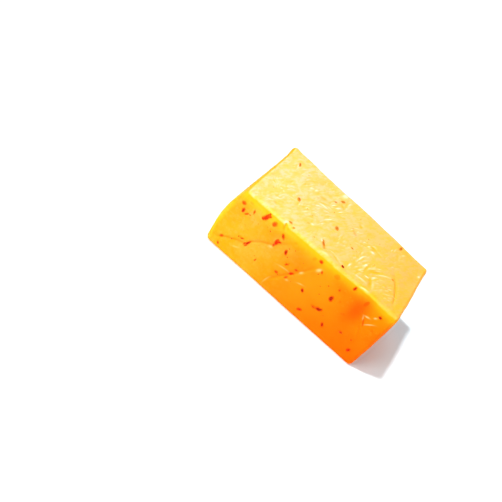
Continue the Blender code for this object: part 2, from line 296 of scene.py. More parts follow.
OPENING_COUNT = 8
OPENING_RADIUS = (0.0007, 0.0012)
OPENING_DEPTH = 0.00065
OPENING_STRETCH = 1.9
OPENING_FACES = ("back", "left", "right", "back")
FACE_MARGIN = 0.0040

FACE_NORMALS = {
    "front": (0, -1, 0),
    "back": (0, 1, 0),
    "left": (-1, 0, 0),
    "right": (1, 0, 0),
    "top": (0, 0, 1),
}
FACING_START = 0.55
FACING_SPAN = 0.35


# %% Waves and grooves
def waves(points, pitch, seed):
    """Smooth unevenness of about -1 to 1: plane waves in drawn directions, added up."""
    draw = np.random.default_rng(seed)
    total = np.zeros(len(points))
    for _ in range(WAVE_COUNT):
        direction = draw.normal(size=3)
        direction /= np.linalg.norm(direction)
        wave_pitch = pitch * draw.uniform(*WAVE_PITCH_SPREAD)
        phase = draw.uniform(0, 2 * math.pi)
        total += np.sin(points @ direction * 2 * math.pi / wave_pitch + phase)
    return total / math.sqrt(2 * WAVE_COUNT)


def distance_to(points, place):
    return np.linalg.norm(points - np.array(place), axis=1)


def path_distance(along, up, path):
    """Distance from each point to a path, and 1 or -1 for its right-hand or left-hand side."""
    nearest = np.full(len(along), np.inf)
    side = np.zeros(len(along))
    for (start_u, start_v), (end_u, end_v) in zip(path, path[1:]):
        run_u = end_u - start_u
        run_v = end_v - start_v
        share = ((along - start_u) * run_u + (up - start_v) * run_v) / (run_u ** 2 + run_v ** 2)
        share = np.clip(share, 0, 1)
        off_u = along - start_u - share * run_u
        off_v = up - start_v - share * run_v
        distance = np.hypot(off_u, off_v)
        closer = distance < nearest
        nearest = np.where(closer, distance, nearest)
        side = np.where(closer, np.sign(off_u * run_v - off_v * run_u), side)
    return nearest, side


def end_fade(along, up, path):
    fade = np.ones(len(along))
    for end_u, end_v in (path[0], path[-1]):
        fade *= 1 - bump(np.hypot(along - end_u, up - end_v), SEAM_FADE)
    return fade


def groove(along, up, path, depth, half_width, lip):
    """A shallow groove along a path, where the curd on its right-hand side stands a little higher."""
    nearest, side = path_distance(along, up, path)
    rise = 1 - bump(nearest, half_width)
    raised = np.where(side > 0, lip * rise * np.exp(-nearest / LIP_SLOPE), 0)
    return end_fade(along, up, path) * (raised - depth * bump(nearest, half_width))


# %% Faces, pits and the crack
def facing(normals, face):
    """How far each point belongs to a face: 1 on the flat, 0 past the middle of its edges."""
    share = normals @ np.array(FACE_NORMALS[face], dtype=float)
    return np.clip((share - FACING_START) / FACING_SPAN, 0, 1)


def place_on_face(face, draw):
    """A drawn point of a face, clear of its edges. The surface lies within a millimetre of it."""
    half_length = LENGTH / 2
    half_width = WIDTH / 2
    along = draw.uniform(FACE_MARGIN - half_length, half_length - FACE_MARGIN)
    across = draw.uniform(FACE_MARGIN - half_width, half_width - FACE_MARGIN)
    up = draw.uniform(FACE_MARGIN, HEIGHT - FACE_MARGIN)
    taper = NARROWING * along / half_length
    belly = bellied(np.array([(-half_length, across, up)]))[0]
    places = {
        "front": (along, -half_width * (1 - taper), up),
        "back": (along, half_width * (1 - taper), up),
        "left": (-half_length - belly, across, up),
        "right": (half_length, across, up),
        "top": (along, across, HEIGHT * (1 + RISE * along / half_length)),
    }
    return Vector(places[face])


def openings(points, normals):
    """Small pits between curds, drawn over the back and both ends."""
    draw = np.random.default_rng(SEED)
    depth = np.zeros(len(points))
    for number in range(OPENING_COUNT):
        face = OPENING_FACES[number % len(OPENING_FACES)]
        centre = place_on_face(face, draw)
        radius = draw.uniform(*OPENING_RADIUS)
        offset = points - np.array(centre)
        lean = draw.normal(size=3)
        lean /= np.linalg.norm(lean)
        lengthwise = offset @ lean
        distance = np.linalg.norm(offset - np.outer(lengthwise, lean), axis=1)
        distance = np.hypot(distance, lengthwise / OPENING_STRETCH)
        depth += OPENING_DEPTH * bump(distance, radius) * facing(normals, face)
    return depth


def crack_distance(points):
    run = np.array(CRACK[1] - CRACK[0])
    share = np.clip((points - np.array(CRACK[0])) @ run / (run @ run), 0, 1)
    return np.linalg.norm(points - np.array(CRACK[0]) - share[:, None] * run, axis=1)


def hollow_distance(points):
    """How far each point lies from the hollow's middle, where 1 is its radius."""
    off_along = (points[:, 0] - HOLLOW_CENTRE[0]) / HOLLOW_RADII[0]
    off_up = (points[:, 2] - HOLLOW_CENTRE[1]) / HOLLOW_RADII[1]
    return np.hypot(off_along, off_up)


# %% Broad relief added up
def broad_relief(points, normals):
    along, across, up = points.T
    seam_form = (SEAM_DEPTH, SEAM_HALF_WIDTH, SEAM_LIP)
    crease_form = (CREASE_DEPTH, CREASE_HALF_WIDTH, CREASE_LIP)
    height = SWELL_HEIGHT * waves(points, SWELL_PITCH, SEED)
    height += DIMPLE_HEIGHT * waves(points, DIMPLE_PITCH, SEED + 1)
    for path in FRONT_SEAMS:
        height += facing(normals, "front") * groove(along, up, path, *seam_form)
    height -= facing(normals, "front") * HOLLOW_DEPTH * bump(hollow_distance(points), 1.0)
    for path in BACK_SEAMS:
        height += facing(normals, "back") * groove(along, up, path, *seam_form)
    for path, face in zip(END_SEAMS, ("left", "right")):
        height += facing(normals, face) * groove(across, up, path, *seam_form)
    for path in TOP_CREASES:
        height += facing(normals, "top") * groove(along, across, path, *crease_form)
    height -= CRACK_DEPTH * bump(crack_distance(points), CRACK_HALF_WIDTH)
    height += CRISP_CORNER_RISE * bump(distance_to(points, CRISP_CORNER), CRISP_CORNER_RADIUS)
    return height - openings(points, normals)


# %% [markdown]
# ## Wrapping wrinkles
#
# The top lay against stretched film, which pressed hundreds of short sharp wrinkles into it. They come
# in fans and patches that lean the same way. A noise texture would spread them evenly, so each patch
# is a named place with a count and a lean instead, and a seeded draw sets out its single wrinkles:
# a narrow ridge with a shallow trough beside it. The streaks that stand out singly are listed one by one.

# %% Wrinkle patches
# Each patch: centre along and across, half its length and width, wrinkles, lean and fanning in degrees
WRINKLE_PATCHES = (
    (-0.0070, 0.0080, 0.0042, 0.0028, 22, 62, 14),
    (-0.0120, 0.0030, 0.0040, 0.0032, 18, 45, 40),
    (-0.0190, 0.0080, 0.0045, 0.0035, 26, 70, 16),
    (-0.0265, 0.0120, 0.0040, 0.0050, 12, 78, 20),
    (-0.0140, 0.0155, 0.0055, 0.0030, 18, 82, 22),
    (-0.0145, -0.0050, 0.0045, 0.0045, 34, 58, 26),
    (-0.0075, -0.0030, 0.0035, 0.0050, 28, 63, 14),
    (-0.0250, -0.0060, 0.0060, 0.0070, 26, 72, 60),
    (-0.0290, -0.0150, 0.0050, 0.0050, 12, 65, 60),
    (0.0050, 0.0035, 0.0050, 0.0040, 30, 52, 16),
    (0.0030, -0.0065, 0.0040, 0.0045, 22, 66, 18),
    (0.0110, -0.0065, 0.0032, 0.0045, 34, 72, 24),
    (0.0170, -0.0075, 0.0036, 0.0045, 28, 50, 26),
    (0.0235, -0.0115, 0.0045, 0.0045, 40, 48, 10),
    (0.0125, -0.0135, 0.0050, 0.0026, 22, 48, 46),
    (0.0100, 0.0030, 0.0035, 0.0030, 16, 52, 40),
    (0.0200, 0.0085, 0.0050, 0.0060, 16, 78, 30),
    (-0.0020, 0.0140, 0.0060, 0.0040, 16, 74, 30),
    (-0.0040, -0.0150, 0.0060, 0.0040, 14, 40, 50),
)
WRINKLE_HALF_LENGTH = (0.0005, 0.0013)
WRINKLE_HALF_WIDTH = (0.00016, 0.00028)
WRINKLE_RISE = (0.08, 0.42)
WRINKLE_SCATTER = 8
WRINKLE_BEND = 0.07
# The trough beside a fold: its depth beside a wrinkle and a streak, its place and width in half widths
TROUGH_SHARE = 0.9
STREAK_TROUGH_SHARE = 0.35
TROUGH_PLACE = 2
TROUGH_BREADTH = 1.3
TROUGH_WIDENING = 1.35
FOLD_REACH = (2.5, 3)
FOLD_LIMIT = 1.2
FOLD_HEIGHT = 0.00012

# %% Streaks and ripples
SHIMMER_PITCH = 0.0012
SHIMMER_HEIGHT = 0.000007
SHIMMER_RUN = (0.90, -0.43, 0.0)
SHIMMER_WANDER = 6.0
SHIMMER_WANDER_PITCH = 0.006
SHIMMER_PATCH_PITCH = 0.009
FINE_DIMPLE_PITCH = 0.0022
FINE_DIMPLE_HEIGHT = 0.000016

# Each streak: along, up or across, half its length and width, lean in degrees, rise (minus: a trough)
SEEN_STREAKS = {
    "top": (
        (-0.0089, 0.0086, 0.0010, 0.00026, 62, 1.0),
        (-0.0071, 0.0088, 0.0011, 0.00028, 60, 1.0),
        (-0.0054, 0.0081, 0.0012, 0.00026, 64, 1.0),
        (-0.0173, 0.0079, 0.0009, 0.00032, 75, 1.0),
        (-0.0192, 0.0067, 0.0008, 0.00028, 66, 0.8),
        (-0.0114, 0.0034, 0.0016, 0.00050, 18, 0.8),
        (-0.0134, 0.0007, 0.0009, 0.00034, 60, 0.6),
        (-0.0072, -0.0014, 0.0016, 0.00026, 60, 0.9),
        (-0.0156, -0.0052, 0.0011, 0.00030, 55, 0.9),
        (-0.0166, -0.0060, 0.0010, 0.00030, 55, -0.7),
        (-0.0268, -0.0063, 0.0005, 0.00040, 30, 0.7),
        (-0.0256, -0.0068, 0.0004, 0.00035, 80, 0.6),
        (-0.0303, -0.0065, 0.0005, 0.00040, 0, 0.5),
        (-0.0103, -0.0104, 0.0006, 0.00040, 50, 0.8),
        (-0.0040, -0.0141, 0.0007, 0.00048, -50, 0.8),
        (0.0127, 0.0017, 0.0007, 0.00062, 10, 1.0),
        (0.0103, 0.0033, 0.0010, 0.00034, 60, 0.9),
        (0.0083, 0.0038, 0.0009, 0.00026, 52, 0.5),
        (0.0119, 0.0044, 0.0010, 0.00040, -20, -0.8),
        (0.0148, 0.0034, 0.0012, 0.00034, -12, -0.6),
        (0.0104, -0.0060, 0.0013, 0.00026, 78, 0.9),
        (0.0112, -0.0052, 0.0010, 0.00024, 70, -0.7),
        (0.0133, -0.0072, 0.0009, 0.00044, 70, 0.9),
        (0.0126, -0.0117, 0.0013, 0.00036, 66, 0.8),
        (0.0158, -0.0124, 0.0008, 0.00036, 20, 0.9),
        (0.0180, -0.0104, 0.0010, 0.00036, 62, 1.0),
        (0.0207, -0.0052, 0.0030, 0.00032, 40, 0.6),
        (0.0176, -0.0071, 0.0024, 0.00032, 50, -1.0),
        (0.0162, -0.0074, 0.0022, 0.00028, 60, -0.8),
        (0.0141, -0.0084, 0.0032, 0.00028, 86, -0.7),
        (0.0184, -0.0142, 0.0020, 0.00032, -70, -0.9),
        (0.0174, -0.0188, 0.0017, 0.00036, 14, 1.0),
        (0.0144, -0.0157, 0.0022, 0.00045, 6, 0.5),
        (0.0086, -0.0138, 0.0012, 0.00034, 84, 0.7),
        (-0.0003, -0.0188, 0.0016, 0.00060, 4, 0.5),
        (-0.0174, -0.0201, 0.0009, 0.00060, 70, 0.9),
        (-0.0078, 0.0186, 0.0014, 0.00085, 70, 0.8),
        (-0.0054, 0.0150, 0.0038, 0.00034, -82, -0.6),
        (-0.0130, 0.0073, 0.0012, 0.00060, 35, -0.6),
        (-0.0062, 0.0117, 0.0012, 0.00045, -45, -0.8),
        (0.0034, 0.0100, 0.0010, 0.00042, -50, -0.7),
        (0.0040, 0.0098, 0.0008, 0.00034, 60, -0.6),
        (0.0036, -0.0169, 0.0024, 0.00034, -20, -0.6),
        (0.0316, 0.0109, 0.0007, 0.00048, 80, 0.7),
        (0.0226, 0.0146, 0.0010, 0.00034, 60, 0.5),
        (0.0210, 0.0112, 0.0018, 0.00034, -80, -0.5),
        (0.0258, -0.0104, 0.0009, 0.00060, 50, -0.5),
    ),
    "front": (
        (0.0254, 0.0212, 0.0010, 0.00030, 20, 1.0),
        (0.0276, 0.0232, 0.0006, 0.00034, 50, 1.0),
        (0.0278, 0.0194, 0.0018, 0.00026, 46, 0.8),
        (0.0247, 0.0196, 0.0009, 0.00026, -62, 0.6),
        (-0.0016, 0.0165, 0.0008, 0.00042, 60, 0.6),
        (0.0021, 0.0224, 0.0010, 0.00065, 60, 0.8),
        (-0.0034, 0.0102, 0.0006, 0.00042, 40, 0.5),
        (-0.0156, 0.0163, 0.0008, 0.00046, 30, 0.4),
        (0.0009, 0.0128, 0.0013, 0.00034, 22, 0.4),
        (-0.0070, 0.0131, 0.0026, 0.00034, 8, 0.35),
        (-0.0089, 0.0040, 0.0020, 0.00034, 82, 0.4),
        (-0.0245, 0.0062, 0.0016, 0.00034, 30, 0.3),
    ),
}


# %% Folds of the surface
def wrinkle_plan():
    """Every drawn wrinkle as (along, across, half length, half width, lean, rise)."""
    draw = np.random.default_rng(SEED + 10)
    plan = []
    for along, across, half_long, half_wide, count, lean, fanning in WRINKLE_PATCHES:
        for _ in range(count):
            turn = draw.uniform(0, 2 * math.pi)
            reach = math.sqrt(draw.uniform(0, 1))
            off_u = half_long * reach * math.cos(turn)
            off_v = half_wide * reach * math.sin(turn)
            degrees = lean - fanning * off_u / half_long + draw.normal(0, WRINKLE_SCATTER)
            plan.append((along + off_u, across + off_v, draw.uniform(*WRINKLE_HALF_LENGTH),
                         draw.uniform(*WRINKLE_HALF_WIDTH), degrees, draw.uniform(*WRINKLE_RISE)))
    return plan


def leaning(off_u, off_v, degrees):
    """Two offsets, measured instead along and across a line that leans by some degrees."""
    lean = math.radians(degrees)
    lengthwise = off_u * math.cos(lean) + off_v * math.sin(lean)
    sideways = off_v * math.cos(lean) - off_u * math.sin(lean)
    return lengthwise, sideways


def add_fold(fold, along, other, line, trough_share):
    """One short ridge, slightly bent, with a trough beside it."""
    centre_u, centre_v, half_length, half_width, degrees, rise = line
    if rise < 0:
        half_width *= TROUGH_WIDENING
    reach = FOLD_REACH[0] * half_length + FOLD_REACH[1] * half_width
    near = np.flatnonzero(np.hypot(along - centre_u, other - centre_v) < reach)
    lengthwise, sideways = leaning(along[near] - centre_u, other[near] - centre_v, degrees)
    sideways = sideways + WRINKLE_BEND * lengthwise ** 2 / half_length
    trough = bump(sideways - TROUGH_PLACE * half_width, TROUGH_BREADTH * half_width)
    ridge = bump(sideways, half_width) - trough_share * trough
    fold[near] += rise * ridge * bump(lengthwise, half_length)


def folds(points, normals):
    """How much each point belongs to a ridge (above 0) or a trough (below 0)."""
    total = np.zeros(len(points))
    for face, column in (("top", 1), ("front", 2)):
        share = facing(normals, face)
        on_face = np.flatnonzero(share > 0)
        along = points[on_face, 0]
        other = points[on_face, column]
        fold = np.zeros(len(on_face))
        if face == "top":
            for line in wrinkle_plan():
                add_fold(fold, along, other, line, TROUGH_SHARE)
        for line in SEEN_STREAKS[face]:
            add_fold(fold, along, other, line, STREAK_TROUGH_SHARE)
        total[on_face] += fold * share[on_face]
    return np.clip(total, -FOLD_LIMIT, FOLD_LIMIT)


def shimmer(points, normals):
    """Faint ripples all over the top, their strength changing from place to place."""
    course = (points @ np.array(SHIMMER_RUN)) * 2 * math.pi / SHIMMER_PITCH
    ripple = np.sin(course + SHIMMER_WANDER * waves(points, SHIMMER_WANDER_PITCH, SEED + 3))
    strength = 1 + waves(points, SHIMMER_PATCH_PITCH, SEED + 4)
    return SHIMMER_HEIGHT * ripple * strength * facing(normals, "top")


# %% Press the relief into the grid
smooth_points = read_points(body_mesh)
smooth_normals = read_normals(body_mesh)
foot_hold = np.clip(smooth_points[:, 2] / FOOT_RADIUS, 0, 1)
relief = broad_relief(smooth_points, smooth_normals) + shimmer(smooth_points, smooth_normals)
relief += FOLD_HEIGHT * folds(smooth_points, smooth_normals)
relief += FINE_DIMPLE_HEIGHT * waves(smooth_points, FINE_DIMPLE_PITCH, SEED + 5)
write_points(body_mesh, smooth_points + smooth_normals * (relief * foot_hold)[:, None])
print("wrinkles:", len(wrinkle_plan()))
print("relief in mm:", round(1000 * relief.min(), 2), "to", round(1000 * relief.max(), 2))

# %% [markdown]
# ## Thinning and fitting
#
# The fine grid has a third of a million triangles, more than flat cheese needs. The Decimate modifier in
# its collapse mode keeps triangles where the surface bends and drops them where it is flat. Then the skin
# is fitted a hair inside the frame's box, with room above it for the flakes, and so it stands where the
# solid block stands.

# %% Thin and fit the skin
BODY_TRIANGLES = 192000
FOOT_SLACK = FOOT_RADIUS / 20
FLAKE_PROUD = 0.00018
FLAKE_SHOWS = 0.6


def evaluated_mesh(obj):
    bpy.context.view_layer.update()
    depsgraph = bpy.context.evaluated_depsgraph_get()
    return bpy.data.meshes.new_from_object(obj.evaluated_get(depsgraph))


def thinned(mesh, triangles):
    obj = add_object("thinning", mesh)
    modifier = obj.modifiers.new("thin", "DECIMATE")
    modifier.ratio = triangles / sum(len(face.vertices) - 2 for face in mesh.polygons)
    result = evaluated_mesh(obj)
    bpy.data.objects.remove(obj)
    return result


def fitted(points, low, high):
    """The points stretched by a hair so that they fill the box from low to high."""
    own_low = points.min(axis=0)
    own_high = points.max(axis=0)
    return np.array(low) + (points - own_low) * (np.array(high) - np.array(low)) / (own_high - own_low)


# At the sides, a third of the height by which a flake may stand proud is left free
fit_margin = Vector((FLAKE_PROUD, FLAKE_PROUD, 0)) / 3
flake_room = Vector((0, 0, FLAKE_PROUD * FLAKE_SHOWS))
body_mesh = thinned(body_mesh, BODY_TRIANGLES)
body_points = read_points(body_mesh)
to_frame = (block_low + block_high - Vector(body_points.min(axis=0)) - Vector(body_points.max(axis=0))) / 2
to_frame.z = 0
body_points = fitted(body_points, block_low + fit_margin - to_frame,
                     block_high - fit_margin - flake_room - to_frame)
body_points[body_points[:, 2] < FOOT_SLACK, 2] = 0.0
write_points(body_mesh, body_points)
body_mesh.shade_smooth()
body_mesh.name = "cheddar_body"
body = add_object("cheddar_body", body_mesh)
print("skin:", len(body_mesh.polygons), "faces")
print("to be moved in mm:", [round(1000 * step, 2) for step in to_frame])

# %% [markdown]
# ## Chilli flakes
#
# Crushed chilli was stirred into the curd, so flakes of skin and flesh turn up in every cut face. Those
# that show in the picture are placed one by one, and the rest are spread by a seeded rule, down to
# specks. A flake is a disc pulled out to a few uneven corners, extruded to a chip, bevelled and tilted a
# little. All flakes of one colour share one mesh, because a hundred small objects are hard to handle.

# %% Flake layout
# Each flake: kind, face, along, up or across, length, width, turn in degrees
SEEN_FLAKES = (
    ("soft", "front", -0.0325, 0.0223, 0.0016, 0.0014, 0),
    ("dark", "front", -0.0310, 0.0199, 0.0019, 0.0010, 100),
    ("red", "front", -0.0235, 0.0240, 0.0036, 0.0019, 76),
    ("soft", "front", -0.0198, 0.0242, 0.0022, 0.0017, 85),
    ("rust", "front", -0.0148, 0.0229, 0.0023, 0.0010, -52),
    ("red", "front", -0.0151, 0.0193, 0.0032, 0.0016, 92),
    ("dark", "front", -0.0104, 0.0188, 0.0023, 0.0010, -66),
    ("dark", "front", -0.0223, 0.0108, 0.0035, 0.0011, 78),
    ("soft", "front", -0.0309, 0.0058, 0.0017, 0.0011, 80),
    ("soft", "front", -0.0080, 0.0097, 0.0013, 0.0010, 0),
    ("red", "front", -0.0037, 0.0133, 0.0019, 0.0015, 30),
    ("soft", "front", 0.0006, 0.0256, 0.0015, 0.0013, 0),
    ("dark", "front", 0.0031, 0.0113, 0.0017, 0.0010, -50),
    ("dark", "front", 0.0121, 0.0169, 0.0024, 0.0015, 96),
    ("dark", "front", 0.0118, 0.0099, 0.0023, 0.0015, 10),
    ("dark", "front", 0.0153, 0.0266, 0.0018, 0.0010, 85),
    ("dark", "front", 0.0287, 0.0247, 0.0014, 0.0011, 0),
    ("red", "front", 0.0072, 0.0042, 0.0019, 0.0012, 35),
    ("dark", "front", 0.0168, 0.0058, 0.0022, 0.0011, -60),
    ("rust", "front", 0.0232, 0.0088, 0.0016, 0.0012, 10),
    ("red", "front", 0.0297, 0.0052, 0.0021, 0.0013, 75),
    ("brown", "top", -0.0280, 0.0140, 0.0022, 0.0009, -72),
    ("brown", "top", -0.0070, 0.0146, 0.0023, 0.0013, 58),
    ("brown", "top", 0.0204, 0.0170, 0.0029, 0.0012, 84),
    ("brown", "top", -0.0196, -0.0043, 0.0020, 0.0013, -75),
    ("brown", "top", -0.0028, -0.0020, 0.0026, 0.0016, -80),
    ("brown", "top", -0.0163, -0.0186, 0.0015, 0.0010, 20),
    ("dark", "top", 0.0071, -0.0175, 0.0014, 0.0012, 0),
    ("brown", "top", -0.0030, -0.0152, 0.0034, 0.0011, -62),
)
SPREAD_FLAKES = {"back": 12, "left": 6, "right": 6}
SPREAD_KINDS = ("red", "dark", "rust", "soft", "dark")
FLAKE_LENGTH = (0.0012, 0.0026)
FLAKE_SLENDERNESS = (0.45, 0.85)
FLAKE_SPACING = 0.0042
FLAKE_THICKNESS = 0.0007
FLAKE_SIDES = 16
FLAKE_CORNERS = (4, 8)
CORNER_REACH = (0.58, 1.38)
FLAKE_TILT = math.radians(3)

# Small flakes that show singly, too thin for the solid, in the same order
SMALL_FLAKES = (
    ("rust", "front", -0.0293, 0.0196, 0.0017, 0.0006, 50),
    ("rust", "front", -0.0277, 0.0223, 0.0015, 0.0005, -75),
    ("rust", "front", -0.0072, 0.0152, 0.0017, 0.0006, 60),
    ("rust", "front", -0.0042, 0.0108, 0.0015, 0.0006, 65),
    ("rust", "front", -0.0301, 0.0024, 0.0011, 0.0006, -55),
    ("rust", "front", -0.0248, 0.0107, 0.0013, 0.0005, 35),
    ("rust", "front", -0.0219, 0.0092, 0.0016, 0.0006, 70),
    ("rust", "front", -0.0035, 0.0160, 0.0010, 0.0008, 20),
    ("rust", "front", 0.0034, 0.0225, 0.0012, 0.0006, -65),
    ("rust", "front", 0.0100, 0.0091, 0.0011, 0.0008, 0),
    ("rust", "front", 0.0121, 0.0217, 0.0009, 0.0006, 90),
    ("rust", "front", -0.0163, 0.0074, 0.0012, 0.0004, 85),
    ("red", "front", -0.0228, 0.0248, 0.0015, 0.0007, 35),
    ("red", "front", -0.0241, 0.0228, 0.0012, 0.0008, -35),
    ("red", "front", -0.0145, 0.0201, 0.0015, 0.0009, 25),
    ("rust", "front", -0.0150, 0.0174, 0.0013, 0.0008, 100),
    ("rust", "front", 0.0111, 0.0094, 0.0012, 0.0008, 10),
    ("dark", "front", 0.0126, 0.0104, 0.0011, 0.0007, 45),
    ("red", "front", 0.0126, 0.0161, 0.0012, 0.0008, 60),
    ("soft", "front", -0.0228, 0.0093, 0.0013, 0.0006, 85),
    ("brown", "top", -0.0092, 0.0110, 0.0012, 0.0008, 40),
    ("brown", "top", 0.0059, -0.0050, 0.0010, 0.0007, 0),
    ("brown", "top", -0.0142, -0.0200, 0.0009, 0.0005, 50),
    ("brown", "top", -0.0036, -0.0137, 0.0009, 0.0006, -20),
    ("brown", "top", 0.0240, -0.0034, 0.0009, 0.0007, 10),
)

# Specks of crushed chilli: how many on each side, and their length
SPECKS = {"front": 22, "top": 14, "back": 22, "left": 10, "right": 10}
SPECK_LENGTH = (0.00030, 0.00075)
SPECK_SIDES = 8
# The skin counts as the top where its normal points upwards by more than this
TOP_NORMAL = 0.7


# %% Lay the flakes out
def seen_place(face, along, other):
    if face == "front":
        return Vector((along, -WIDTH / 2, other))
    return Vector((along, other, HEIGHT))


def flake_plan():
    """Every flake as (kind, place, length, width, turn): those that show first, then a spread."""
    draw = np.random.default_rng(SEED)
    plan = []
    for kind, face, along, other, length, width, degrees in SEEN_FLAKES:
        plan.append((kind, seen_place(face, along, other), length, width, math.radians(degrees)))
    for face, count in SPREAD_FLAKES.items():
        placed = 0
        while placed < count:
            place = place_on_face(face, draw)
            if min((place - other[1]).length for other in plan) < FLAKE_SPACING:
                continue
            length = draw.uniform(*FLAKE_LENGTH)
            width = length * draw.uniform(*FLAKE_SLENDERNESS)
            kind = SPREAD_KINDS[len(plan) % len(SPREAD_KINDS)]
            plan.append((kind, place, length, width, draw.uniform(0, math.pi)))
            placed += 1
    return plan


def skin_tree():
    bm = bmesh.new()
    bm.from_mesh(body.data)
    tree = BVHTree.FromBMesh(bm)
    bm.free()
    return tree


def lying_frame(place, turn):
    """A matrix that lays a chip in the nearest skin: its Z outwards, its X turned from the right."""
    on_skin, normal, _, _ = tree.find_nearest(place)
    upright = Vector((0, 1, 0)) if abs(normal.z) > TOP_NORMAL else Vector((0, 0, 1))
    right = upright.cross(normal).normalized()
    axes = Matrix((right, normal.cross(right), normal)).transposed()
    return Matrix.Translation(on_skin) @ axes.to_4x4() @ Matrix.Rotation(turn, 4, "Z")


def speck_plan():
    draw = np.random.default_rng(SEED + 30)
    plan = []
    for face, count in SPECKS.items():
        for number in range(count):
            kind = "brown" if face == "top" else SPREAD_KINDS[number % len(SPREAD_KINDS)]
            length = draw.uniform(*SPECK_LENGTH)
            width = length * draw.uniform(*FLAKE_SLENDERNESS)
            plan.append((kind, place_on_face(face, draw), length, width, draw.uniform(0, math.pi)))
    return plan


def laid_on_skin(plan, sides):
    """The plan's chips as (kind, matrix, length, width, sides), each lying in the skin."""
    return [(kind, lying_frame(place, turn), length, width, sides)
            for kind, place, length, width, turn in plan]


tree = skin_tree()
flakes = laid_on_skin(flake_plan(), FLAKE_SIDES)
small = [(kind, seen_place(face, along, other), length, width, math.radians(degrees))
         for kind, face, along, other, length, width, degrees in SMALL_FLAKES]
specks = laid_on_skin(small, FLAKE_SIDES) + laid_on_skin(speck_plan(), SPECK_SIDES)
print("flakes:", len(flakes), "specks:", len(specks))


# %% Flake chips
CORNER_DRIFT = 0.3
RIM_JITTER = 0.04
CHIP_TAPER = 0.92
CHIP_BEVEL = 0.10
CHIP_DENT = (-0.12, 0.04)
RIM_GAIN = 2.2


def uneven_rim(disc, draw):
    """Turn a round disc into a torn scrap: a few corners at uneven reaches, the rim running between them."""
    corners = draw.integers(*FLAKE_CORNERS)
    drift = draw.uniform(-CORNER_DRIFT, CORNER_DRIFT, corners)
    turns = (np.arange(corners) + drift) * 2 * math.pi / corners
    reaches = draw.uniform(*CORNER_REACH, corners)
    for number, vertex in enumerate(disc):
        turn = 2 * math.pi * number / len(disc)
        reach = np.interp(turn, turns, reaches, period=2 * math.pi)
        vertex.co.xy *= reach + draw.uniform(-RIM_JITTER, RIM_JITTER)


def add_chip(bm, frame_matrix, length, width, sides, draw):
    """One chip: an uneven disc, extruded, its outer rim bevelled and its middle dented, then sunk."""
    disc = bmesh.ops.create_circle(bm, cap_ends=True, segments=sides, radius=0.5)["verts"]
    uneven_rim(disc, draw)
    cap = disc[0].link_faces[0]
    wall = bmesh.ops.extrude_face_region(bm, geom=[cap])["geom"]
    outer = [part for part in wall if isinstance(part, bmesh.types.BMVert)]
    bmesh.ops.translate(bm, vec=(0, 0, 1), verts=outer)
    bmesh.ops.scale(bm, vec=(CHIP_TAPER, CHIP_TAPER, 1), verts=outer)
    rim = [part for part in wall if isinstance(part, bmesh.types.BMEdge)]
    softened = bmesh.ops.bevel(bm, geom=rim, offset=CHIP_BEVEL, segments=2, profile=0.5,
                               affect="EDGES", material=-1, clamp_overlap=True)
    chip = {vertex for vertex in disc + outer + softened["verts"] if vertex.is_valid}
    faces = (face for vertex in chip for face in vertex.link_faces)
    top = max(faces, key=lambda face: face.calc_center_median().z)
    middle = bmesh.ops.poke(bm, faces=[top], offset=draw.uniform(*CHIP_DENT))["verts"]
    chip = list(chip | set(middle))
    rims = [min(1.0, RIM_GAIN * vertex.co.xy.length) for vertex in chip]
    bmesh.ops.scale(bm, vec=(length, width, FLAKE_THICKNESS), verts=chip)
    tilt = Matrix.Rotation(draw.uniform(-FLAKE_TILT, FLAKE_TILT), 3, "Y")
    bmesh.ops.rotate(bm, cent=(0, 0, 0), matrix=tilt, verts=chip)
    highest = max(vertex.co.z for vertex in chip)
    bmesh.ops.translate(bm, vec=(0, 0, FLAKE_PROUD * FLAKE_SHOWS - highest), verts=chip)
    bmesh.ops.transform(bm, matrix=frame_matrix, verts=chip)
    return zip(chip, rims)


def flakes_of(kind, name, seed):
    bm = bmesh.new()
    tone = bm.verts.layers.float.new("tone")
    rim = bm.verts.layers.float.new("rim")
    draw = np.random.default_rng(seed)
    for flake_kind, frame_matrix, length, width, sides in flakes + specks:
        if flake_kind != kind:
            continue
        shade = draw.uniform(0, 1)
        for vertex, outwards in add_chip(bm, frame_matrix, length, width, sides, draw):
            vertex[tone] = shade
            vertex[rim] = outwards
    bmesh.ops.recalc_face_normals(bm, faces=bm.faces)
    bmesh.ops.translate(bm, vec=to_frame, verts=bm.verts)
    mesh = mesh_from(bm, name)
    mesh.shade_smooth()
    return add_object(name, mesh)


chips = {}
for number, kind in enumerate(("red", "dark", "brown", "rust", "soft")):
    chips[kind] = flakes_of(kind, "chilli_flakes_" + kind, SEED + 20 + number)
print("chips' faces:", {kind: len(obj.data.polygons) for kind, obj in chips.items()})

# %% [markdown]
# ## Stains and masks
#
# Oil from the chilli bleeds into the cheese, so every flake has an orange rim, and flakes that lie just
# under the surface show only as a blurred spot. Shader noise can't know where the flakes are, but the
# mesh can: each point of the skin stores how stained it is, how much film pressed on it and how deep
# it lies in a seam or crease. The material then reads these as attributes.

# %% Stains
HALO_REACH = 0.00022
HALO_SHARE = 0.85
SUNK_SHARE = 0.7
